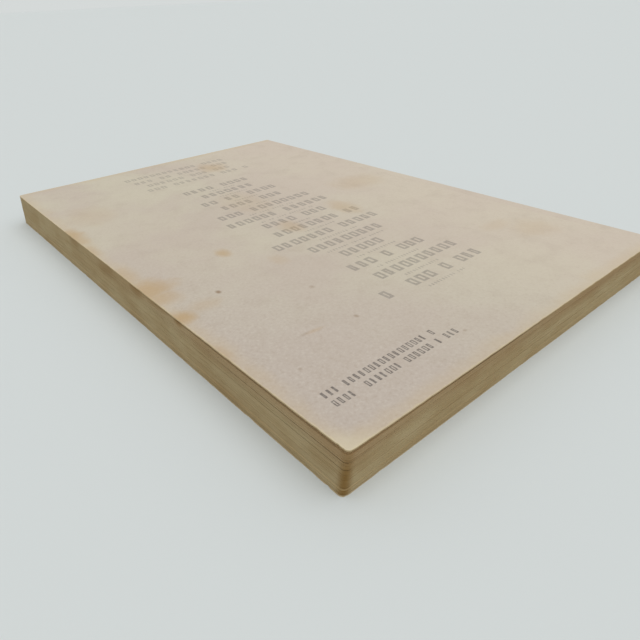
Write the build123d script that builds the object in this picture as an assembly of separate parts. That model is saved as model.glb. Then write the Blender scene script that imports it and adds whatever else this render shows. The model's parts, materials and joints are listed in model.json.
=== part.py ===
from build123d import *
import os

# A thin perfect-bound paperback, lying on its front cover with the back cover up.
# Millimetres. Origin: middle of the underside. +X runs from the fore edge to the
# spine, +Y from the tail (foot of the pages) to the head, +Z up out of the back cover.

# ---- driving dimensions ----------------------------------------------------------
page_width = 127.0        # fore edge to outside of the spine
page_height = 197.0       # tail to head
book_thickness = 11.4     # outside of one cover to outside of the other
card_thickness = 0.3      # the folded cover card
glue_thickness = 0.8      # binding glue between the leaves and the spine card
hinge_strip = 4.5         # width of each cover that is glued down beside the spine
worn_corner_radius = 1.2  # fore-edge corners, rubbed round

# The block has gone out of square with handling: its top lies over towards the
# spine and towards the tail by these amounts.
lean_to_spine = 0.9
lean_to_tail = 0.9

# ---- sizes that follow -----------------------------------------------------------
fore_edge_x = -page_width / 2
spine_x = page_width / 2
hinge_x = spine_x - hinge_strip
spine_card_inner_x = spine_x - card_thickness
leaves_back_x = spine_card_inner_x - glue_thickness
leaves_bottom_z = card_thickness
leaves_top_z = book_thickness - card_thickness

glue_corner_radius = glue_thickness / 2
fold_outer_radius = glue_corner_radius + card_thickness


def lean_at(z):
    """How far the block has shifted sideways at height z."""
    share = z / book_thickness - 0.5
    return Vector(lean_to_spine * share, -lean_to_tail * share, z)


def leaning_slab(x_from, x_to, z_from, z_to):
    """A trimmed slab of the book, between two distances from its middle and two heights."""
    outline = Rectangle(x_to - x_from, page_height, align=(Align.MIN, Align.CENTER)).face()
    bottom = outline.moved(Location(Vector(x_from, 0, 0) + lean_at(z_from)))
    return Solid.extrude(bottom, lean_at(z_to) - lean_at(z_from))


def round_upright_corners(slab, radius):
    """Round the two fore-edge corners of a slab."""
    uprights = slab.edges().filter_by(lambda edge: abs(edge.tangent_at(0).Z) > 0.9)
    return slab.fillet(radius, uprights.sort_by(Axis.X)[:2])


def round_spine_folds(slab, radius):
    """Round the two long edges at the spine side of a slab."""
    spine_face = slab.faces().sort_by(lambda face: face.normal_at().X)[-1]
    return slab.fillet(radius, spine_face.edges().filter_by(Axis.Y))


def text_block():
    """All the leaves, held as one block."""
    leaves = leaning_slab(fore_edge_x, leaves_back_x, leaves_bottom_z, leaves_top_z)
    return round_upright_corners(leaves, worn_corner_radius)


def spine_glue():
    """The strip of glue that binds the leaves and holds the spine card."""
    glue = leaning_slab(leaves_back_x, spine_card_inner_x, leaves_bottom_z, leaves_top_z)
    return round_spine_folds(glue, glue_corner_radius)


def cover_spine():
    """The spine of the folded card, with the two strips glued down beside it."""
    outside = leaning_slab(hinge_x, spine_x, 0, book_thickness)
    inside = leaning_slab(fore_edge_x, spine_card_inner_x, leaves_bottom_z, leaves_top_z)
    outside = round_spine_folds(outside, fold_outer_radius)
    inside = round_spine_folds(inside, glue_corner_radius)
    return outside - inside


def cover_panel(z_from, z_to):
    """One free side of the card, from the fore edge to its crease."""
    return round_upright_corners(leaning_slab(fore_edge_x, hinge_x, z_from, z_to), worn_corner_radius)


nodes = {
    "text_block": text_block(),
    "spine_glue": spine_glue(),
    "cover_spine": cover_spine(),
    "back_cover": cover_panel(leaves_top_z, book_thickness),
    "front_cover": cover_panel(0, leaves_bottom_z),
}

os.makedirs("parts", exist_ok=True)
for name, shape in nodes.items():
    export_step(shape, f"parts/{name}.step")

print(f"back cover crease  x {hinge_x + lean_at(book_thickness).X:.3f}  z {book_thickness:.3f}")
print(f"front cover crease x {hinge_x + lean_at(0).X:.3f}  z 0.000")
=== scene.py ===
import json
import math

import bpy
import numpy as np
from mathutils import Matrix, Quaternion, Vector


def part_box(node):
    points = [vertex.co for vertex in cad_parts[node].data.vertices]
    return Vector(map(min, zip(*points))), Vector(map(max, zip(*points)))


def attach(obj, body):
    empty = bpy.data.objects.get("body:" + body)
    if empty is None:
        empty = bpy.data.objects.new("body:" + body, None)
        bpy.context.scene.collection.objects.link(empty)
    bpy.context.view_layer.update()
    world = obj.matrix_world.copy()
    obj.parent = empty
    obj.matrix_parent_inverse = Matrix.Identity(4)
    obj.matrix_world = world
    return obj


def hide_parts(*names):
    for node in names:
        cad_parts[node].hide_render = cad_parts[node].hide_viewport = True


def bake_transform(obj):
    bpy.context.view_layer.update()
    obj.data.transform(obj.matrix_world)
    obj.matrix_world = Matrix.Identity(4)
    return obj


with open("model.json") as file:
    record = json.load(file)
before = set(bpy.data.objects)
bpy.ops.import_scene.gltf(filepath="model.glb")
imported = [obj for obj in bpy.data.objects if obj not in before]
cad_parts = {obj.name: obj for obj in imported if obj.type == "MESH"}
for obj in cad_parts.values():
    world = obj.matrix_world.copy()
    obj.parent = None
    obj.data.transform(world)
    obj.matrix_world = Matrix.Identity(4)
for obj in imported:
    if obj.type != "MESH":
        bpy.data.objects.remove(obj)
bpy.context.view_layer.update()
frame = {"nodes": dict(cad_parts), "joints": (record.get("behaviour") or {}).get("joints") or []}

# %% [markdown]
# ## Reading sizes from the frame
# The engineering model already says where everything is, so nothing is measured twice.
# The book leans: its top cover sits a little nearer the spine and the tail than its
# bottom cover does. Two covers give two boxes, and a straight line between them gives
# the outline of the block at any height.

# %% Sizes of the book
MM = 0.001
back_low, back_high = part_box("back_cover")
front_low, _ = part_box("front_cover")
_, spine_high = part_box("cover_spine")
glue_low, glue_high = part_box("spine_glue")
creases = {joint["child"]: Vector(joint["pos_m"]) for joint in frame["joints"]}

thickness = back_high.z
card = back_high.z - back_low.z
page_height = back_high.y - back_low.y
lean_x = back_low.x - front_low.x
lean_y = back_low.y - front_low.y
crease_u = creases["back_cover"].x - back_low.x
spine_u = spine_high.x - back_low.x
leaves_u = spine_u - (glue_high.x - glue_low.x) - card + lean_x


def lean_at(z):
    """Sideways shift of the block at height z, measured from its underside."""
    return lean_x * z / thickness, lean_y * z / thickness


def in_book(u, v, z):
    """From (distance from the fore edge, distance from the tail, height) to the frame."""
    shift_x, shift_y = lean_at(z)
    return np.stack([front_low.x + u + shift_x, front_low.y + v + shift_y, z + 0 * u], -1)


print(f"book {spine_u / MM:.1f} x {page_height / MM:.1f} x {thickness / MM:.1f} mm,",
      f"crease {crease_u / MM:.1f} mm in, leaves {leaves_u / MM:.1f} mm wide")

# %% [markdown]
# ## Nothing on an old book is straight
# Paper swells and shrinks, so every edge and face needs a little unevenness. A noise
# texture would do for colour, but a mesh wants numbers. Adding a few sine waves of
# random length and direction gives a smooth wander, and a fixed seed gives the same
# book every time.

# %% Soft unevenness
wave_count = 6
shortest_wave, longest_wave = 0.7, 1.7  # times the size asked for


def wander(seed, size, *places):
    """Smooth random values of about -1 to 1, whose bumps are `size` long."""
    dice = np.random.default_rng(seed)
    total = np.zeros(np.broadcast(*places).shape)
    for _ in range(wave_count):
        direction = dice.normal(size=len(places))
        direction /= np.linalg.norm(direction)
        rate = 2 * math.pi / (size * dice.uniform(shortest_wave, longest_wave))
        along = sum(part * place for part, place in zip(direction, places))
        total += np.sin(rate * along + dice.uniform(0, 2 * math.pi))
    return total / math.sqrt(2 * wave_count)


def bump_at(u, v, centre_u, centre_v, reach_u, reach_v):
    """A soft hill, 1 at its centre."""
    return np.exp(-(((u - centre_u) / reach_u) ** 2 + ((v - centre_v) / reach_v) ** 2))


print("wander sample", np.round(wander(1, 10.0, np.arange(4.0)), 3))

# %% [markdown]
# ## One sheet of card, in three pieces
# The cover is a single folded card. It has to bend at two creases, and a mesh can bend
# across one joint only, so the sheet is laid out as three meshes that meet exactly at
# the creases: back, spine and front. Each is a grid with an outer and an inner skin and
# a rim between them. A box with a subdivision modifier would be quicker, but a grid lets
# the points crowd together at the rubbed edges and at the fold.

# %% Grid helpers
def graded(length, fine, coarse, reach, both_ends=True):
    """Distances from 0 to length: close together at both ends or at the start, wide beyond."""
    places = [0.0]
    while places[-1] < length:
        from_end = min(places[-1], length - places[-1]) if both_ends else places[-1]
        places.append(places[-1] + fine + (coarse - fine) * min(1.0, from_end / reach))
    return np.array(places) * length / places[-1]


def rub_corner(a, b, radius):
    """Pulls the square corner of a grid onto a quarter circle. a and b run in from the edges."""
    p = np.clip(1 - a / radius, 0, 1)
    q = np.clip(1 - b / radius, 0, 1)
    both = (p > 0) & (q > 0)
    round_a = radius * (1 - p * np.sqrt(1 - q * q / 2))
    round_b = radius * (1 - q * np.sqrt(1 - p * p / 2))
    return np.where(both, round_a, a), np.where(both, round_b, b)


def add_place(mesh, name, values, kind="FLOAT_VECTOR"):
    """Stores a value on every point, for the finish to read. It stays when the mesh bends."""
    attribute = mesh.attributes.new(name, kind, "POINT")
    key = "vector" if kind == "FLOAT_VECTOR" else "value"
    attribute.data.foreach_set(key, np.ascontiguousarray(values, np.float32).ravel())


def put_in_scene(name, data):
    """An object for a mesh, a lamp or a camera, linked into the scene."""
    piece = bpy.data.objects.new(name, data)
    bpy.context.scene.collection.objects.link(piece)
    return piece


def smooth_below(mesh, angle):
    """Shades smoothly across every fold gentler than the angle, in degrees."""
    mesh.shade_smooth()
    mesh.set_sharp_from_angle(angle=math.radians(angle))


# %% [markdown]
# A sheet's two skins come from one recipe: a function that says where each point of the
# grid goes on the outside, and where on the inside. The rim then walks once round the
# grid. The outer face, the inner face and the rim take different finishes, because the
# outside of the card is printed, the inside is plain and the rim shows raw fibre.

# %% Sheet builder
OUTER, INNER, RIM = 0, 1, 2
card_smooth_angle = 40


def build_sheet(name, outer, inner, place_mm, edge_mm):
    """A closed sheet from two grids of points. place_mm and edge_mm go onto its points."""
    rows, columns = outer.shape[:2]
    count = rows * columns
    index = np.arange(count).reshape(rows, columns)
    corners = [index[:-1, :-1], index[1:, :-1], index[1:, 1:], index[:-1, 1:]]
    quads = np.stack(corners, -1).reshape(-1, 4)
    loop = np.concatenate([index[0, :-1], index[:-1, -1], index[-1, :0:-1], index[:0:-1, 0]])
    following = np.roll(loop, -1)
    rim = np.stack([loop, following, following + count, loop + count], -1)
    faces = np.concatenate([quads, quads[:, ::-1] + count, rim])
    kinds = np.repeat([OUTER, INNER, RIM], [len(quads), len(quads), len(rim)])
    points = np.concatenate([outer.reshape(-1, 3), inner.reshape(-1, 3)])
    mesh = bpy.data.meshes.new(name)
    mesh.from_pydata(points.tolist(), [], faces.tolist())
    mesh.polygons.foreach_set("material_index", kinds.astype(np.int32))
    add_place(mesh, "place_mm", np.tile(place_mm.reshape(-1, 3), (2, 1)))
    add_place(mesh, "edge_mm", np.tile(edge_mm.ravel(), 2), "FLOAT")
    piece = put_in_scene(name, mesh)
    smooth_below(mesh, card_smooth_angle)
    print(f"{name}: {rows} x {columns} grid, {2 * len(faces)} triangles")
    return piece


# %% [markdown]
# ## The two covers
# A cover panel is flat card that has been rubbed. Its corners at the fore edge are
# rounded, its edges are nicked, and it swells a little. The back cover has also lifted
# a trifle at the corner where it is picked up. All of that dies away towards the crease,
# so that the panel meets the spine piece without a step.

# %% Cover panels
corner_radius = 1.2 * MM
crease_depth = 0.05 * MM
crease_width = 0.9 * MM
card_wear = 0.10 * MM
wear_fade = 1.5 * MM
long_nick, short_nick, nick_level = 4 * MM, 1.3 * MM, 0.2
edge_spacing, middle_spacing, edge_band = 0.25 * MM, 2.0 * MM, 12 * MM


def crease_dip(u):
    """Depth of the pressed line where a cover bends."""
    return crease_depth * np.exp(-(((u - crease_u) / crease_width) ** 2))


def nicks(seed, along):
    """Depth of the nicks along an edge, as a share of the card's wear."""
    worn = wander(seed, long_nick, along) + wander(seed + 1, short_nick, along)
    return np.clip(worn - nick_level, 0, None)


def rubbed_outline(u, v, seed):
    """Moves the points of a panel in from its three free edges, by uneven amounts."""
    from_head = page_height - v
    low_u, low_v = rub_corner(u, v, corner_radius)
    high_u, high_from_head = rub_corner(u, from_head, corner_radius)
    near_tail = v < page_height / 2
    new_u = np.where(near_tail, low_u, high_u)
    new_v = np.where(near_tail, low_v, page_height - high_from_head)
    at_ends = np.exp(-v / wear_fade) - np.exp(-from_head / wear_fade)
    new_u = new_u + card_wear * nicks(seed, v) * np.exp(-u / wear_fade)
    new_v = new_v + card_wear * nicks(seed + 2, u) * at_ends
    return new_u, new_v


def panel_grid():
    """Distances in from the fore edge and up from the tail, as two grids."""
    across = graded(crease_u, edge_spacing, middle_spacing, edge_band)
    up = graded(page_height, edge_spacing, middle_spacing, edge_band)
    return np.meshgrid(across, up, indexing="ij")


def panel_places(u, v):
    """What the finish needs to know: where each point is, and how near to a free edge."""
    place = np.stack([u, v, 0 * u], -1) / MM
    edge = np.minimum(np.minimum(u, v), page_height - v) / MM
    return place, edge


held_flat = 60 * MM
swell_height, swell_size = 0.05 * MM, 70 * MM
picked_lift, picked_reach = 0.22 * MM, 9 * MM
head_lift, head_reach = 0.12 * MM, 20 * MM


def back_cover_lift(u, v):
    """Height of the back cover above flat."""
    free = np.clip((crease_u - u) / held_flat, 0, 1) ** 2
    swell = swell_height * wander(11, swell_size, u, v)
    picked_corner = picked_lift * bump_at(u, v, 0, 0, picked_reach, picked_reach)
    head_corner = head_lift * bump_at(u, v, 0, page_height, head_reach, head_reach)
    return free * (swell + picked_corner + head_corner)


def make_back_cover():
    """The upper panel, from the fore edge to its crease."""
    u, v = panel_grid()
    place, edge = panel_places(u, v)
    z = thickness + back_cover_lift(u, v) - crease_dip(u)
    worn_u, worn_v = rubbed_outline(u, v, seed=21)
    outer = in_book(worn_u, worn_v, z)
    inner = in_book(worn_u, worn_v, z - card)
    return build_sheet("back_cover_card", outer, inner, place, edge)


def make_front_cover():
    """The lower panel. It is pressed flat by the book, so only its outline is worn."""
    u, v = panel_grid()
    place, edge = panel_places(u, v)
    z = crease_dip(u)
    worn_u, worn_v = rubbed_outline(u, v, seed=31)
    outer = in_book(worn_u, worn_v, z)
    inner = in_book(worn_u, worn_v, z + card)
    facing_down = [grid[:, ::-1] for grid in (outer, inner, place, edge)]
    return build_sheet("front_cover_card", *facing_down)


back_cover = make_back_cover()
front_cover = make_front_cover()

# %% [markdown]
# ## The spine of the card
# The middle third of the sheet runs from one crease, over a rounded fold, down the
# spine and round to the other crease. It is drawn as a path in section and swept along
# the book. A bevelled box would give the folds too, but then the skin thickness at the
# folds would not be the card's own.

# %% Spine piece
fold_radius = 0.7 * MM
strip_points, strip_crowding = 12, 1.5
fold_steps, wall_steps = 8, 14
spine_hollow, hollow_size = 0.12 * MM, 50 * MM
end_spacing, run_spacing = 0.3 * MM, 2.5 * MM


def spine_section():
    """Points (u, z, outward u, outward z) round the section, from top crease to bottom crease."""
    share = np.linspace(0, 1, strip_points) ** strip_crowding
    strip = crease_u + (spine_u - fold_radius - crease_u) * share
    points = [(u, thickness, 0.0, 1.0) for u in strip[:-1]]
    for step in range(fold_steps + 1):
        turn = math.pi / 2 * step / fold_steps
        out_u, out_z = math.sin(turn), math.cos(turn)
        fold_u = spine_u - fold_radius * (1 - out_u)
        points.append((fold_u, thickness - fold_radius * (1 - out_z), out_u, out_z))
    upper_half = points[::-1]
    for step in range(1, wall_steps):
        z = thickness - fold_radius - (thickness - 2 * fold_radius) * step / wall_steps
        points.append((spine_u, z, 1.0, 0.0))
    points += [(u, thickness - z, out_u, -out_z) for u, z, out_u, out_z in upper_half]
    return np.array(points)


def make_spine_card():
    """The spine and the two strips glued down beside it."""
    section = spine_section()
    up = graded(page_height, end_spacing, run_spacing, edge_band)
    u, v = np.meshgrid(section[:, 0], up, indexing="ij")
    z = np.broadcast_to(section[:, 1:2], u.shape)
    out_u = np.broadcast_to(section[:, 2:3], u.shape)
    out_z = np.broadcast_to(section[:, 3:4], u.shape)
    dip = crease_dip(u) * np.abs(out_z)
    mid_wall = np.sin(math.pi * np.clip(z / thickness, 0, 1)) ** 2
    hollow = spine_hollow * out_u ** 2 * mid_wall * (1 + 0.5 * wander(41, hollow_size, v))
    sunk = dip + hollow
    outer = in_book(u - out_u * sunk, v, z - out_z * sunk)
    inner = in_book(u - out_u * (sunk + card), v, z - out_z * (sunk + card))
    along = np.concatenate([[0], np.cumsum(np.hypot(*np.diff(section[:, :2], axis=0).T))])
    place = np.stack([np.broadcast_to((crease_u + along)[:, None], u.shape), v, z], -1) / MM
    edge = np.minimum(v, page_height - v) / MM
    return build_sheet("spine_card", outer, inner, place, edge)


spine_card = make_spine_card()

# %% [markdown]
# ## The block of leaves
# About eighty leaves were glued at the spine and trimmed in one cut. Eighty separate
# slabs would hide most of their faces from view, and one smooth block with a striped
# texture would look printed. Instead the block is one closed skin whose wall follows
# every leaf: out at the leaf's edge, in at the slit above it. Where the book has been
# thumbed, near the lower fore-edge corner, a few slits have sprung open.

# %% Outline of a leaf
leaf_count = 80
leaf_corner = 1.2 * MM
arc_steps = 5
leaf_spacing = 1.0 * MM, 3.0 * MM  # by the thumbed corner, and further off
tail_reach, fore_reach = 60 * MM, 90 * MM
head_points, spine_points = 45, 30


def leaf_outline():
    """Points and outward directions round a leaf: tail, fore edge, head, then spine."""
    tail_run = graded(leaves_u - leaf_corner, *leaf_spacing, tail_reach, both_ends=False)
    fore_run = graded(page_height - 2 * leaf_corner, *leaf_spacing, fore_reach, both_ends=False)
    head_run = np.linspace(leaf_corner, leaves_u, head_points)
    spine_run = np.linspace(page_height, 0, spine_points)[1:-1]
    turns = [math.pi / 2 * step / arc_steps for step in range(1, arc_steps)]
    points = [(u + leaf_corner, 0.0, 0.0, -1.0) for u in tail_run[::-1]]
    for turn in turns:
        out_u, out_v = -math.sin(turn), -math.cos(turn)
        points.append((leaf_corner * (1 + out_u), leaf_corner * (1 + out_v), out_u, out_v))
    points += [(0.0, v + leaf_corner, -1.0, 0.0) for v in fore_run]
    for turn in turns:
        out_u, out_v = -math.cos(turn), math.sin(turn)
        corner_v = page_height - leaf_corner * (1 - out_v)
        points.append((leaf_corner * (1 + out_u), corner_v, out_u, out_v))
    points += [(u, page_height, 0.0, 1.0) for u in head_run]
    points += [(leaves_u, v, 1.0, 0.0) for v in spine_run]
    return np.array(points)


outline = leaf_outline()
print(f"leaf outline has {len(outline)} points")

# %% [markdown]
# Each opened slit is given by its height in the block, how far it gapes at the thumbed
# corner, and how far that reaches along the fore edge and along the tail. The leaves
# between the slits are then a little thinner there, because the whole block keeps its
# thickness. The top leaf has also settled away from the lifted cover at that corner.

# %% Slits between leaves
slit_height = 0.022 * MM
slit_depth = 0.14 * MM
open_slit_depth = 1.6 * MM
page_clearance = 0.01 * MM
settle_depth = 0.42 * MM
thumb_reach = 34 * MM, 62 * MM  # along the tail, and along the fore edge
sprung_slits = [
    # height, gape, reach along the fore edge, reach along the tail
    (2.30 * MM, 0.14 * MM, 42 * MM, 5 * MM),
    (5.15 * MM, 0.06 * MM, 26 * MM, 4 * MM),
    (7.00 * MM, 0.20 * MM, 48 * MM, 5 * MM),
    (8.80 * MM, 0.26 * MM, 55 * MM, 7 * MM),
]


def settle(u, v):
    """How far the top leaf lies below the cover's flat inside."""
    corner = settle_depth * bump_at(u, v, 0, 0, *thumb_reach)
    return corner + crease_dip(u) + page_clearance


def slit_gapes(u, v):
    """Gape of every slit at one place: slit number by point."""
    pitch = (thickness - 2 * card) / leaf_count
    gapes = np.zeros((leaf_count - 1, len(u)))
    for height, gape, reach_v, reach_u in sprung_slits:
        slit = int(round((height - card) / pitch)) - 1
        gapes[slit] += gape * bump_at(u, v, 0, 0, reach_u, reach_v)
    return gapes


# %% [markdown]
# Trimming leaves every leaf the same size, but they creep: each one is shifted by a few
# hundredths of a millimetre, and wanders a little along its own edge. The two top leaves
# are also drawn back at the thumbed corner, which leaves a dark line under the cover.

# %% Levels of the wall
creep_size = 0.035 * MM
own_wander, own_wander_size = 0.02 * MM, 25 * MM
trim_inset, deepest_inset = 0.05 * MM, 0.2 * MM
drawn_back, drawn_leaves = 0.3 * MM, 2
fully_open = 0.05 * MM


def leaf_levels(u, v):
    """Heights and insets of the wall, three levels a leaf: lower edge, upper edge, slit."""
    dice = np.random.default_rng(5)
    gapes = slit_gapes(u, v)
    floor_z = card + crease_dip(u) + page_clearance
    room = thickness - card - settle(u, v) - floor_z - gapes.sum(0)
    pitch = room / leaf_count
    heights, insets, tones = [], [], []
    lower = floor_z
    for leaf in range(leaf_count):
        upper = lower + pitch - slit_height
        creep = creep_size * dice.normal(size=2)
        own_edge = own_wander * wander(100 + leaf, own_wander_size, u, v)
        inset = own_edge + creep[0] * outline[:, 2] + creep[1] * outline[:, 3]
        inset = trim_inset + np.clip(inset, -trim_inset, deepest_inset)
        if leaf >= leaf_count - drawn_leaves:
            inset = inset + drawn_back * bump_at(u, v, 0, 0, *thumb_reach)
        tone = dice.uniform()
        heights += [lower, upper]
        insets += [inset, inset]
        tones += [tone, tone]
        if leaf < leaf_count - 1:
            gape = gapes[leaf]
            opened = np.clip(gape / fully_open, 0, 1)
            heights.append(upper + (slit_height + gape) / 2)
            insets.append(inset + slit_depth + (open_slit_depth - slit_depth) * opened)
            tones.append(tone)
            lower = upper + slit_height + gape
    return np.array(heights), np.array(insets), np.array(tones)


# %% [markdown]
# The first and last pages close the skin at the bottom and the top. They are rings that
# shrink towards the middle, so that the page can follow the settled corner and cockle
# slightly, which is what shows when a cover is opened.

# %% Skin of the block
page_rings = [0.992, 0.975, 0.94, 0.88, 0.78, 0.64, 0.48, 0.32, 0.16]
page_centre = np.array([leaves_u / 2, page_height / 2])
cockle_height, cockle_size = 0.06 * MM, 45 * MM
edge_hold = 6  # a higher power keeps the page flat nearer to its edge
page_tone = 0.5
PAGE, WALL = 0, 1
leaf_smooth_angle = 30


def page_ring(share, on_top):
    """One ring of a page face, as (u, v, z)."""
    u, v = (page_centre + (outline[:, :2] - page_centre) * share).T
    waves = 1 + wander(61 + on_top, cockle_size, u, v)
    cockle = cockle_height * waves * (1 - share ** edge_hold)
    if on_top:
        return u, v, thickness - card - settle(u, v) - cockle
    return u, v, card + crease_dip(u) + page_clearance + cockle


def make_leaves():
    """The whole block: bottom page, wall of leaf edges, top page."""
    u, v, out_u, out_v = outline.T
    heights, insets, tones = leaf_levels(u, v)
    levels = [(*page_ring(share, False), page_tone) for share in page_rings[::-1]]
    for height, inset, tone in zip(heights, insets, tones):
        levels.append((u - out_u * inset, v - out_v * inset, height, tone))
    levels += [(*page_ring(share, True), page_tone) for share in page_rings]
    count = len(u)
    points = np.concatenate([in_book(lu, lv, lz) for lu, lv, lz, _ in levels])
    place = np.concatenate([np.stack([lu, lv, lz], -1) for lu, lv, lz, _ in levels]) / MM
    tone = np.repeat([level[3] for level in levels], count)
    index = np.arange(len(levels) * count).reshape(len(levels), count)
    beside = np.roll(index, -1, axis=1)
    quads = np.stack([index[:-1], index[1:], beside[1:], beside[:-1]], -1).reshape(-1, 4)
    faces = quads.tolist() + [index[0].tolist(), index[-1, ::-1].tolist()]
    mesh = bpy.data.meshes.new("leaves")
    mesh.from_pydata(points.tolist(), [], faces)
    rings = len(page_rings)
    wall = len(levels) - 1 - 2 * rings
    kinds = np.repeat([PAGE, WALL, PAGE], [rings * count, wall * count, rings * count])
    kinds = np.append(kinds, [PAGE, PAGE])
    mesh.polygons.foreach_set("material_index", kinds.astype(np.int32))
    add_place(mesh, "place_mm", place)
    add_place(mesh, "leaf_tone", tone, "FLOAT")
    smooth_below(mesh, leaf_smooth_angle)
    piece = put_in_scene("leaves", mesh)
    triangles = 2 * len(quads) + 2 * count
    print(f"leaves: {len(levels)} levels of {count} points, {triangles} triangles")
    return piece


leaves = make_leaves()

# %% [markdown]
# ## Writing a finish as a formula
# A finish is a graph of nodes, and a long graph is hard to read in a script. So a value
# on its way through the graph gets a small class of its own: adding, multiplying or
# comparing it adds the matching Math node. The finishes below then read like formulas.

# %% Values in a finish
class Flow:
    """A number or colour travelling through a material's nodes."""

    def __init__(self, tree, socket):
        self.tree, self.socket = tree, socket

    def feed(self, target):
        self.tree.links.new(self.socket, target)

    def _math(self, operation, *others):
        node = self.tree.nodes.new("ShaderNodeMath")
        node.operation = operation
        for target, value in zip(node.inputs, (self, *others)):
            set_input(target, value)
        return Flow(self.tree, node.outputs[0])

    def __add__(self, other):
        return self._math("ADD", other)

    def __sub__(self, other):
        return self._math("SUBTRACT", other)

    def __mul__(self, other):
        return self._math("MULTIPLY", other)

    def __truediv__(self, other):
        return self._math("DIVIDE", other)

    def __gt__(self, other):
        return self._math("GREATER_THAN", other)

    def __lt__(self, other):
        return self._math("LESS_THAN", other)

    def __pow__(self, other):
        return self._math("POWER", other)

    def whole(self):
        return self._math("FLOOR")

    def least(self, other):
        return self._math("MINIMUM", other)

    def most(self, other):
        return self._math("MAXIMUM", other)

    def inverse(self):
        """One minus the value."""
        return self * -1.0 + 1.0


def set_input(target, value):
    """A Flow is linked in; anything else becomes the socket's own value."""
    if isinstance(value, Flow):
        value.feed(target)
    else:
        target.default_value = value


# %% [markdown]
# Colours are written as a painter's swatch, 0 to 255, and turned into the linear light
# that the renderer works in.

# %% Finish helper
def swatch(red, green, blue):
    """A display colour as linear light."""
    def linear(value):
        value /= 255
        return value / 12.92 if value <= 0.04045 else ((value + 0.055) / 1.055) ** 2.4
    return (linear(red), linear(green), linear(blue), 1.0)


class Finish:
    """A material under construction."""

    def __init__(self, name):
        self.material = bpy.data.materials.new(name)
        self.material.use_nodes = True
        self.tree = self.material.node_tree
        self.shader = self.tree.nodes["Principled BSDF"]

    def stored(self, name, output="Fac"):
        """A value that was stored on the mesh."""
        node = self.tree.nodes.new("ShaderNodeAttribute")
        node.attribute_name = name
        return Flow(self.tree, node.outputs[output])

    def parts(self, vector):
        """The three numbers of a vector."""
        node = self.tree.nodes.new("ShaderNodeSeparateXYZ")
        set_input(node.inputs[0], vector)
        return [Flow(self.tree, output) for output in node.outputs]

    def vector(self, x, y, z):
        """Three numbers as one vector."""
        node = self.tree.nodes.new("ShaderNodeCombineXYZ")
        for target, value in zip(node.inputs, (x, y, z)):
            set_input(target, value)
        return Flow(self.tree, node.outputs[0])

    def cloud(self, place, size, detail=2.0, roughness=0.55, seed=0.0):
        """Noise from 0 to 1 whose blobs are about `size` millimetres across."""
        node = self.tree.nodes.new("ShaderNodeTexNoise")
        node.noise_dimensions = "4D"
        set_input(node.inputs["Vector"], place)
        set_input(node.inputs["W"], seed)
        node.inputs["Scale"].default_value = 1.0 / size
        node.inputs["Detail"].default_value = detail
        node.inputs["Roughness"].default_value = roughness
        return Flow(self.tree, node.outputs["Fac"])

    def chance(self, vector):
        """A random number from 0 to 1, the same for the same vector."""
        node = self.tree.nodes.new("ShaderNodeTexWhiteNoise")
        set_input(node.inputs["Vector"], vector)
        return Flow(self.tree, node.outputs["Value"])

    def rise(self, value, start, end, low=0.0, high=1.0):
        """A smooth step from low to high while the value goes from start to end."""
        node = self.tree.nodes.new("ShaderNodeMapRange")
        node.interpolation_type = "SMOOTHSTEP"
        set_input(node.inputs["Value"], value)
        bounds = {"From Min": start, "From Max": end, "To Min": low, "To Max": high}
        for key, number in bounds.items():
            set_input(node.inputs[key], number)
        return Flow(self.tree, node.outputs["Result"])

    def mix(self, amount, first, second):
        """From the first colour to the second."""
        node = self.tree.nodes.new("ShaderNodeMix")
        node.data_type = "RGBA"
        first_input, second_input, result = 6, 7, 2  # the colour sockets of a Mix node
        set_input(node.inputs["Factor"], amount)
        set_input(node.inputs[first_input], first)
        set_input(node.inputs[second_input], second)
        return Flow(self.tree, node.outputs[result])

    def relief(self, height, depth, under=None):
        """Bump: height 0 to 1 stands for `depth` millimetres."""
        node = self.tree.nodes.new("ShaderNodeBump")
        node.inputs["Distance"].default_value = depth * MM
        set_input(node.inputs["Height"], height)
        if under is not None:
            set_input(node.inputs["Normal"], under)
        return Flow(self.tree, node.outputs["Normal"])

    def done(self, colour, roughness, normal, shine=0.3):
        """Connects the results to the surface."""
        set_input(self.shader.inputs["Base Color"], colour)
        set_input(self.shader.inputs["Roughness"], roughness)
        set_input(self.shader.inputs["Normal"], normal)
        self.shader.inputs["Specular IOR Level"].default_value = shine
        print(f"finish {self.material.name}: {len(self.tree.nodes)} nodes")
        return self.material


# %% [markdown]
# ## Palette
# Old paper is never one brown. The card runs from cream to a rosy grey where it was
# held, the leaf edges from a greenish tan to rust, and both have their own dirt. The
# colours stand together here, so that they can be judged against one another.

# %% Palette
card_cream, card_rosy = swatch(203, 194, 173), swatch(197, 184, 168)
# The spine-side tone is paler partly as painted light, which falls stronger on that side.
card_held, card_spine_side_and_light = swatch(190, 178, 166), swatch(211, 197, 179)
card_mottle = swatch(176, 160, 142)
sand_dark, sand_pale = swatch(168, 150, 130), swatch(216, 208, 194)
card_browned, card_rubbed, card_tip = swatch(200, 178, 140), swatch(208, 192, 156), swatch(220, 209, 176)
stain_tan, speck_brown = swatch(186, 154, 106), swatch(134, 104, 70)
ink_faded, ink_dark = swatch(112, 105, 100), swatch(84, 78, 74)
inside_cream, inside_buff = swatch(219, 208, 184), swatch(207, 194, 168)
inside_browned, inside_sand = swatch(186, 160, 118), swatch(170, 150, 118)
rim_pale, rim_brown = swatch(206, 188, 150), swatch(168, 144, 104)
leaf_tan, leaf_brown, leaf_pale = swatch(178, 160, 122), swatch(168, 146, 106), swatch(196, 180, 142)
leaf_streak, leaf_ruddy = swatch(146, 122, 82), swatch(158, 124, 88)
leaf_damp, leaf_spot = swatch(132, 98, 42), swatch(134, 98, 46)
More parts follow.
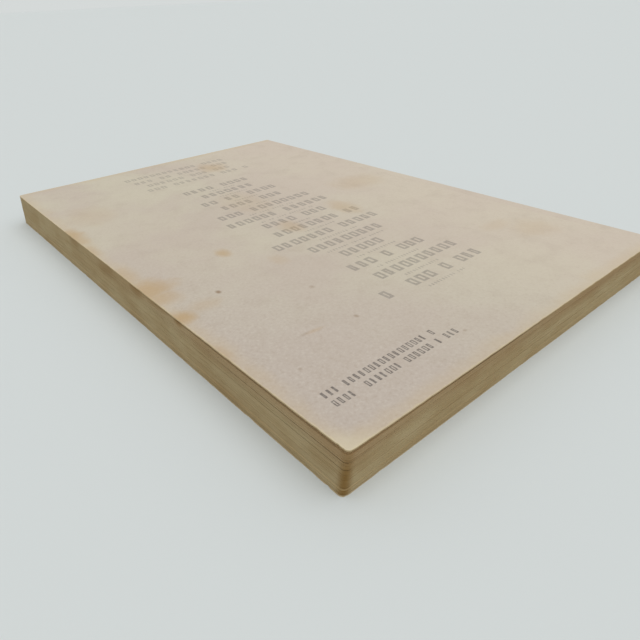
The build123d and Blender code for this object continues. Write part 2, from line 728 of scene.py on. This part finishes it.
# The gap tone is painted shade in the gap under the cover; the foot tone is painted shadow where the
# leaves meet the bottom cover.
gap_painted_shade, band_pale, foot_painted_shadow = swatch(98, 74, 46), swatch(204, 178, 132), swatch(104, 80, 50)
page_cream, page_buff = swatch(226, 213, 181), swatch(216, 201, 164)
page_browned, page_fox = swatch(186, 156, 108), swatch(176, 132, 82)
glue_amber, glue_brown = swatch(204, 176, 118), swatch(160, 124, 68)
table_tone, backdrop_tone, sky_tone = swatch(214, 219, 217), swatch(213, 217, 216), swatch(252, 253, 255)

# %% [markdown]
# ## Aged cover card
# Cheap card yellows and picks up grime. Three layers tell that story: slow drifts of tone across the
# sheet, partly painted light that makes it paler towards the spine, a fine sandy grain, and browning
# that creeps in from the edges.
# The paler line on the very edge is where rubbing has taken the tired surface off.

# %% Card layers
def card_tone_and_light(finish, place, u, v, seed):
    """Slow drifts of colour: greyer where it was held, creamier in the middle, and paler by the spine,
    partly the card's tone and partly painted light.
    """
    slow = finish.cloud(place, 48, detail=3, seed=seed)
    colour = finish.mix(finish.rise(slow, 0.38, 0.62), card_cream, card_rosy)
    held = finish.rise(u * 0.8 + v * 0.5 + slow * 40.0, 100, 30)
    colour = finish.mix(held * 0.75, colour, card_held)
    # Paler towards the spine: partly the card's own tone, partly painted light falling stronger on that
    # side.
    toward_spine_light = finish.rise(u + slow * 30.0, 60, 135)
    return finish.mix(toward_spine_light * 0.6, colour, card_spine_side_and_light), held


def card_grain(finish, place, colour, held, seed):
    """Mottling a few millimetres across and sandy grain under a millimetre."""
    mottle = finish.cloud(place, 7, detail=4, roughness=0.6, seed=seed + 1)
    colour = finish.mix(finish.rise(mottle, 0.45, 0.75) * 0.22, colour, card_mottle)
    sand = finish.cloud(place, 0.75, detail=3, roughness=0.7, seed=seed + 2)
    dark = finish.rise(sand, 0.5, 0.72) * (held * 0.22 + 0.12)
    colour = finish.mix(dark, colour, sand_dark)
    pale = finish.rise(sand, 0.5, 0.3) * (held * 0.2 + 0.1)
    return finish.mix(pale, colour, sand_pale), sand


def card_edges(finish, place, edge, colour, seed):
    """Browning that creeps in from the edges, and the pale rubbed line on them."""
    creep = finish.cloud(place, 9, detail=3, seed=seed + 3)
    browned = finish.rise(edge - creep * 7.0, 1.5, -3.5)
    colour = finish.mix(browned * 0.32, colour, card_browned)
    nibble = finish.cloud(place, 1.6, detail=3, seed=seed + 4)
    rubbed = finish.rise(edge + nibble * 1.3, 1.2, 0.6)
    return finish.mix(rubbed * 0.6, colour, card_rubbed)


# %% [markdown]
# Stains are soft blots. A blot is only a distance from its middle, but the distance is
# measured from a place that noise has pushed about, so its outline comes out ragged.

# %% Stains
push_size, push_share = 6, 1.2
blot_edge, blot_core = 1.5, -0.6  # squared distances, in reaches, where a blot ends and is full


def blots(finish, place, u, v, marks, seed):
    """The strongest of several blots. A mark is centre u, v, reach u, v and strength."""
    push = (finish.cloud(place, push_size, detail=6, seed=seed) - 0.5) * push_share
    nudge = (finish.cloud(place, push_size, detail=6, seed=seed + 7) - 0.5) * push_share
    total = None
    for centre_u, centre_v, reach_u, reach_v, strength in marks:
        away_u = (u + push * reach_u - centre_u) / reach_u
        away_v = (v + nudge * reach_v - centre_v) / reach_v
        blot = finish.rise(away_u ** 2.0 + away_v ** 2.0, blot_edge, blot_core) * strength
        total = blot if total is None else total.most(blot)
    return total


# Millimetres in from the fore edge and up from the tail, two reaches, and a strength.
fore_edge_marks = [
    (0, 134, 5, 9, 0.75), (0, 118, 3, 7, 0.45), (0, 92, 5, 8, 0.4), (1, 80, 9, 7, 0.75),
    (3, 73, 5, 5, 0.55), (1, 60, 4, 4, 0.85), (8, 62, 6, 4, 0.3),
]
back_marks = fore_edge_marks + [
    (0, 40, 2, 6, 0.4),
    (29, 86, 2.6, 3.6, 0.7), (38, 70, 3, 4, 0.25), (57, 88, 4, 7, 0.4), (82, 89, 5, 9, 0.4),
    (77, 172, 7, 9, 0.5), (106, 107, 12, 10, 0.3), (110, 30, 9, 7, 0.25), (104, 40, 8, 4, 0.2),
    (20.6, 33, 3, 0.8, 0.35), (12, 150, 9, 12, 0.22), (60, 120, 9, 16, 0.2),
]
back_specks = [
    (14.8, 65.5, 0.9, 1.2, 0.9), (34, 50, 0.9, 1.0, 0.35), (32, 31, 0.6, 0.8, 0.6),
    (45, 9.5, 0.7, 0.5, 0.4), (18, 33.5, 1.6, 0.5, 0.3), (9, 24, 0.6, 0.6, 0.35),
]

# %% [markdown]
# ## Print without words
# The real cover carries print, and print is what makes it look used. Here it stands as
# plain blocks: rows of a title's weight with a line of small type under each, and two
# short lines at the foot. The row is found by dividing the height into bands, the
# block by dividing the width, and a random number for each decides how wide it is.

# %% Rows of blocks
middle_u = spine_u / 2 / MM
ink_share = 0.88  # the rest are the spaces between words
reshuffle = 17.0  # makes a second random number out of the first


def past_all(finish, distances, start, end):
    """1 where every distance is past the step from start to end, 0 where one falls short."""
    total = finish.rise(distances[0], start, end)
    for distance in distances[1:]:
        total = total * finish.rise(distance, start, end)
    return total


def block_rows(finish, u, v, foot, pitch, rows, height, step, gap, shortest, longest,
               seed, left=None, stroke=None):
    """Ink coverage of rows of plain blocks. Lengths are in millimetres, row widths in blocks."""
    band = (v - foot) / pitch
    row = band.whole()
    up = (band - row) * pitch
    in_band = (band > 0.0) * (band < float(rows))
    lengths = finish.chance(finish.vector(row, seed, 1.5)) * (longest - shortest + 0.99)
    width = (lengths.whole() + shortest) * step - gap
    start = left if left is not None else width * -0.5 + middle_u
    across = u - start
    in_row = (across > 0.0) * (across < width)
    cell = (across / step).whole()
    within = across - cell * step
    draw = finish.chance(finish.vector(cell, row, seed + 0.5))
    second_draw = draw * reshuffle - (draw * reshuffle).whole()
    wide = second_draw * -gap + (step - gap)
    soft = 0.16 * gap + 0.05
    from_sides = [within, wide - within, up, up * -1.0 + height]
    ink = past_all(finish, from_sides, 0.0, soft)
    if stroke:
        ink = ink * past_all(finish, from_sides, stroke, stroke + soft).inverse()
    return in_band * (draw < ink_share) * ink * in_row


# %% [markdown]
# The print on the cover comes in four kinds: big faded titles, small notes under them, a
# few lines at the head, and two short lines of darker type at the foot.

# %% The four kinds of row
title_rows = dict(foot=31.0, pitch=8.7, rows=14, height=4.2, step=3.4, gap=0.7,
                  shortest=6, longest=13, seed=3.0, stroke=0.85)
note_rows = dict(foot=28.0, pitch=8.7, rows=14, height=1.1, step=1.1, gap=0.35,
                 shortest=8, longest=22, seed=5.0)
heading_rows = dict(foot=160.0, pitch=6.6, rows=4, height=3.4, step=2.9, gap=0.6,
                    shortest=14, longest=18, seed=8.0, stroke=0.7)
small_rows = dict(foot=9.9, pitch=3.25, rows=2, height=2.1, step=1.45, gap=0.4,
                  shortest=23, longest=26, seed=2.0, left=6.5, stroke=0.3)


def ink_blocks(finish, place, u, v):
    """Coverage of the faded rows and of the darker small type, as two values."""
    ragged = (finish.cloud(place, 0.5, detail=2, seed=9.0) - 0.5) * 0.25
    u, v = u + ragged, v + ragged
    titles, notes, heading, small = [
        block_rows(finish, u, v, **kind)
        for kind in (title_rows, note_rows, heading_rows, small_rows)
    ]
    return titles.most(notes * 0.8).most(heading * 0.8), small


# %% [markdown]
# The outside of the card brings those layers together in the order they happened: the card's tone and
# grain, with some painted light in the tone, the print, the worn edges, and last the stains.

# %% Outer face of the card
def outer_card(name, marks, specks, printed, seed):
    """The outside of the cover: aged card, with or without print."""
    finish = Finish(name)
    place = finish.stored("place_mm", "Vector")
    u, v, _ = finish.parts(place)
    edge = finish.stored("edge_mm")
    colour, held = card_tone_and_light(finish, place, u, v, seed)
    colour, sand = card_grain(finish, place, colour, held, seed)
    if printed:
        faded, small = ink_blocks(finish, place, u, v)
        rubbed = finish.rise(sand, 0.35, 0.65, 0.75, 1.0)
        colour = finish.mix(faded * rubbed * 0.5, colour, ink_faded)
        colour = finish.mix(small * rubbed * 0.8, colour, ink_dark)
    colour = card_edges(finish, place, edge, colour, seed)
    if printed:
        ragged = finish.cloud(place, 3, detail=3, seed=seed + 9) * 4.0
        tip = finish.rise(u + v + ragged, 12.0, 3.0)
        colour = finish.mix(tip * 0.5, colour, card_tip)
    if marks:
        stained = blots(finish, place, u, v, marks, seed + 20)
        colour = finish.mix(stained, colour, stain_tan)
    if specks:
        specked = blots(finish, place, u, v, specks, seed + 30)
        colour = finish.mix(specked, colour, speck_brown)
    fibre = finish.cloud(place, 0.35, detail=2, seed=seed + 5)
    normal = finish.relief(fibre, 0.012)
    normal = finish.relief(finish.cloud(place, 5, detail=3, seed=seed + 6), 0.05, normal)
    return finish.done(colour, finish.rise(sand, 0.3, 0.7, 0.62, 0.78), normal)


back_face = outer_card("printed_card", back_marks, back_specks, True, 0.0)
front_face = outer_card("plain_card", fore_edge_marks, [], False, 40.0)
spine_face = outer_card("spine_card_face", [], [], False, 70.0)

# %% [markdown]
# ## Inside the covers, and the raw rim
# The inside of the card never saw daylight, so it is paler, with a brown frame where air
# reached it. On the rim the card's core shows: pale, fibrous and slightly furry.

# %% Inside and rim
def inner_card():
    """The plain inside of the cover."""
    finish = Finish("card_inside")
    place = finish.stored("place_mm", "Vector")
    edge = finish.stored("edge_mm")
    slow = finish.cloud(place, 30, detail=3, seed=11.0)
    colour = finish.mix(slow, inside_cream, inside_buff)
    browned = finish.rise(edge - slow * 6.0, 11.0, -3.0)
    colour = finish.mix(browned * 0.8, colour, inside_browned)
    sand = finish.cloud(place, 0.6, detail=3, seed=12.0)
    colour = finish.mix(finish.rise(sand, 0.5, 0.8) * 0.25, colour, inside_sand)
    return finish.done(colour, 0.8, finish.relief(sand, 0.012))


def card_rim():
    """The cut edge of the card."""
    finish = Finish("card_rim")
    place = finish.stored("place_mm", "Vector")
    fibre = finish.cloud(place, 0.8, detail=3, seed=14.0)
    colour = finish.mix(fibre, rim_pale, rim_brown)
    return finish.done(colour, 0.85, finish.relief(fibre, 0.02))


inside_face, rim_face = inner_card(), card_rim()
for sheet, outside in ((back_cover, back_face), (front_cover, front_face), (spine_card, spine_face)):
    for material in (outside, inside_face, rim_face):
        sheet.data.materials.append(material)

# %% [markdown]
# ## Toned leaf edges
# The trimmed edges of the leaves have browned far more than the card, most where hands and damp reached
# them: high up under the back cover and down the thumbed corner. Each leaf keeps a tone of its own, and
# fine streaks run along the leaves. A thin dark band right under the cover at the thumbed corner is
# painted shade in the gap there. A paler line runs along near the bottom of the wall, with a painted
# shadow below it where the leaves meet the bottom cover.

# %% Edges of the leaves
# Millimetres along the fore edge and up the wall, two reaches, and a strength.
wall_marks = [
    (105, 9.5, 8, 2.6, 0.5), (84, 10.6, 5, 3.0, 0.7), (60, 10.9, 2.5, 1.6, 0.8),
    (72, 10.8, 7, 1.4, 0.4), (132, 10.6, 6, 2.0, 0.5), (40, 1.6, 9, 1.4, 0.25),
]


def wall_paper(finish, u, v, z):
    """Patchy brown with fine streaks along the leaves, ruddier high up by the thumbed corner."""
    tone = finish.stored("leaf_tone")
    streaks = finish.cloud(finish.vector(u * 0.05, v * 0.05, z * 3.0), 1.0, detail=3, seed=21.0)
    patches = finish.cloud(finish.vector(u, v, z * 2.0), 14, detail=3, seed=22.0)
    colour = finish.mix(finish.rise(patches, 0.35, 0.65), leaf_tan, leaf_brown)
    colour = finish.mix(finish.rise(streaks, 0.45, 0.75) * 0.22, colour, leaf_streak)
    colour = finish.mix(tone * 0.15, colour, leaf_pale)
    ruddy = finish.rise(z + patches * 3.0, 7.5, 12.0) * finish.rise(v, 150, 20)
    return finish.mix(ruddy * 0.45, colour, leaf_ruddy), streaks, patches


def leaf_edges():
    """The wall of the block: paper, the damp corner, lines along the leaves, spots, and painted shade
    under the cover and along the foot.
    """
    finish = Finish("leaf_edges")
    place = finish.stored("place_mm", "Vector")
    u, v, z = finish.parts(place)
    colour, streaks, patches = wall_paper(finish, u, v, z)
    from_corner = u.most(v)
    damp = finish.rise(from_corner + patches * 1.2, 3.2, 0.9) * finish.rise(z, 11.5, 5.0, 0.3, 0.85)
    colour = finish.mix(damp, colour, leaf_damp)
    # Painted shade: the top leaves darken in the gap under the lifted cover near the thumbed corner.
    gap = finish.rise(z, 10.5, 10.75) * finish.rise(from_corner, 75.0, 45.0)
    colour = finish.mix(gap * 0.55, colour, gap_painted_shade)
    band = finish.rise(z, 1.45, 1.65) * finish.rise(z, 2.1, 1.9)
    colour = finish.mix(band * 0.35, colour, band_pale)
    # Painted shadow: the lowest leaves darken where they meet the bottom cover.
    colour = finish.mix(finish.rise(z, 0.6, 0.35) * 0.5, colour, foot_painted_shadow)
    spots = blots(finish, place, v, z, wall_marks, 25.0) * finish.rise(u, 2.0, 0.5)
    colour = finish.mix(spots, colour, leaf_spot)
    return finish.done(colour, 0.85, finish.relief(streaks, 0.02), shine=0.2)


# %% [markdown]
# ## First and last pages
# When a cover opens, a page shows. It is the same cheap paper, browned in a frame where
# air crept in, with a few fox marks.

# %% Pages
def page_face():
    """The faces of the first and last leaf."""
    finish = Finish("page_face")
    place = finish.stored("place_mm", "Vector")
    u, v, _ = finish.parts(place)
    slow = finish.cloud(place, 35, detail=3, seed=31.0)
    from_edge = u.least(v).least(v * -1.0 + page_height / MM)
    colour = finish.mix(slow, page_cream, page_buff)
    browned = finish.rise(from_edge - slow * 12.0, 9.0, -8.0)
    colour = finish.mix(browned * 0.85, colour, page_browned)
    fox = finish.cloud(place, 4.5, detail=1, seed=32.0)
    colour = finish.mix(finish.rise(fox, 0.72, 0.82) * 0.4, colour, page_fox)
    sand = finish.cloud(place, 0.5, detail=2, seed=33.0)
    return finish.done(colour, 0.85, finish.relief(sand, 0.01), shine=0.2)


for material in (page_face(), leaf_edges()):
    leaves.data.materials.append(material)

# %% [markdown]
# ## Binding glue
# The hot glue at the spine only shows as a thin amber line at the head and the tail.
# Its engineering shape is already right, so the node stays and gets a finish: no stored
# places there, so the finish reads the piece's own coordinates.

# %% Glue
def glue_face():
    """Old brittle glue, amber and slightly glossy."""
    finish = Finish("binding_glue")
    node = finish.tree.nodes.new("ShaderNodeTexCoord")
    place = Flow(finish.tree, node.outputs["Object"])
    grain = finish.cloud(place, 1.2 * MM, detail=3, seed=41.0)
    colour = finish.mix(grain, glue_amber, glue_brown)
    roughness = finish.rise(grain, 0.3, 0.7, 0.3, 0.55)
    return finish.done(colour, roughness, finish.relief(grain, 0.05), shine=0.5)


glue = frame["nodes"]["spine_glue"]
glue.data.materials.clear()
glue.data.materials.append(glue_face())

# %% [markdown]
# ## Who moves with what
# Each panel only has its placement baked into its mesh. It is given no body and does not bend at its
# crease. The spine piece and the leaves belong to the book's body, and the engineering parts they stand
# in for are hidden.

# %% Bodies
def bend_at_crease(panel):
    """Bakes the panel's placement into its mesh; it does not fold the panel."""
    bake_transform(panel)


bend_at_crease(back_cover)
bend_at_crease(front_cover)
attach(spine_card, "book")
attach(leaves, "book")
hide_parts("back_cover")
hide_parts("front_cover")
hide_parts("cover_spine")
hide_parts("text_block")

# %% [markdown]
# ## Table, light and camera
# A pale table, a very broad soft light from above and a little to the tail side, and an
# even sky. Together they are set so that a colour on an upward face renders about as it
# is written. The table meets a backdrop of its own tone, so no horizon shows.

# %% Table
table_half = 20.0
table_drop = 0.02 * MM


def make_table():
    """A large pale plane just under the book."""
    signs = [(-1, -1), (1, -1), (1, 1), (-1, 1)]
    corners = [(x * table_half, y * table_half, -table_drop) for x, y in signs]
    mesh = bpy.data.meshes.new("table")
    mesh.from_pydata(corners, [], [(0, 1, 2, 3)])
    table = put_in_scene("table", mesh)
    finish = Finish("pale_table")
    mesh.materials.append(finish.material)
    set_input(finish.shader.inputs["Base Color"], table_tone)
    finish.shader.inputs["Roughness"].default_value = 0.9
    finish.shader.inputs["Specular IOR Level"].default_value = 0.1


make_table()

# %% Lights
sky_strength = 0.62
light_from = Vector((0.1, -0.3, 0.95))
light_strength, light_spread = 1.15, math.radians(70)


def make_sky():
    """An even white sky. The camera and reflections see a backdrop of the table's own tone."""
    world = bpy.data.worlds.new("sky")
    bpy.context.scene.world = world
    world.use_nodes = True
    tree = world.node_tree
    sky = tree.nodes["Background"]
    sky.inputs["Color"].default_value = sky_tone
    sky.inputs["Strength"].default_value = sky_strength
    seen = tree.nodes.new("ShaderNodeBackground")
    seen.inputs["Color"].default_value = backdrop_tone
    rays = tree.nodes.new("ShaderNodeLightPath")
    kinds = ("Is Camera Ray", "Is Glossy Ray", "Is Transmission Ray")
    looking, mirrored, through = [Flow(tree, rays.outputs[kind]) for kind in kinds]
    choice = tree.nodes.new("ShaderNodeMixShader")
    looking.most(mirrored).most(through).feed(choice.inputs[0])
    tree.links.new(sky.outputs[0], choice.inputs[1])
    tree.links.new(seen.outputs[0], choice.inputs[2])
    tree.links.new(choice.outputs[0], tree.nodes["World Output"].inputs["Surface"])


def make_soft_light():
    """A very broad light from one direction, as even far away as it is close by."""
    lamp = bpy.data.lights.new("softbox", "SUN")
    lamp.energy, lamp.angle = light_strength, light_spread
    light = put_in_scene("softbox", lamp)
    light.location = light_from
    light.rotation_euler = light_from.to_track_quat("Z", "Y").to_euler()


make_sky()
make_soft_light()
print(f"sky {sky_strength}, light {light_strength} spread over {math.degrees(light_spread):.0f} degrees")

# %% Camera
camera_place = Vector((front_low.x, front_low.y, 0)) + Vector((-42.6, -47.8, 76.9)) * MM
camera_heading = math.radians(39.46)
camera_drop = math.radians(31.46)
camera_roll = math.radians(-2.69)
lens_length, lens_frame = 29.82, 36.0  # millimetres
nearest, farthest = 0.01, 50.0


def make_camera():
    """A close, slightly tilted view down onto the thumbed corner."""
    lens = bpy.data.cameras.new("camera")
    lens.lens, lens.sensor_width = lens_length, lens_frame
    lens.clip_start, lens.clip_end = nearest, farthest
    camera = put_in_scene("camera", lens)
    level = math.cos(camera_drop)
    ahead = Vector((math.sin(camera_heading) * level, math.cos(camera_heading) * level,
                    -math.sin(camera_drop)))
    camera.location = camera_place
    camera.rotation_mode = "QUATERNION"
    roll = Quaternion((0, 0, 1), camera_roll)
    camera.rotation_quaternion = ahead.to_track_quat("-Z", "Y") @ roll
    bpy.context.scene.camera = camera


make_camera()
bpy.context.scene.view_settings.view_transform = "Standard"
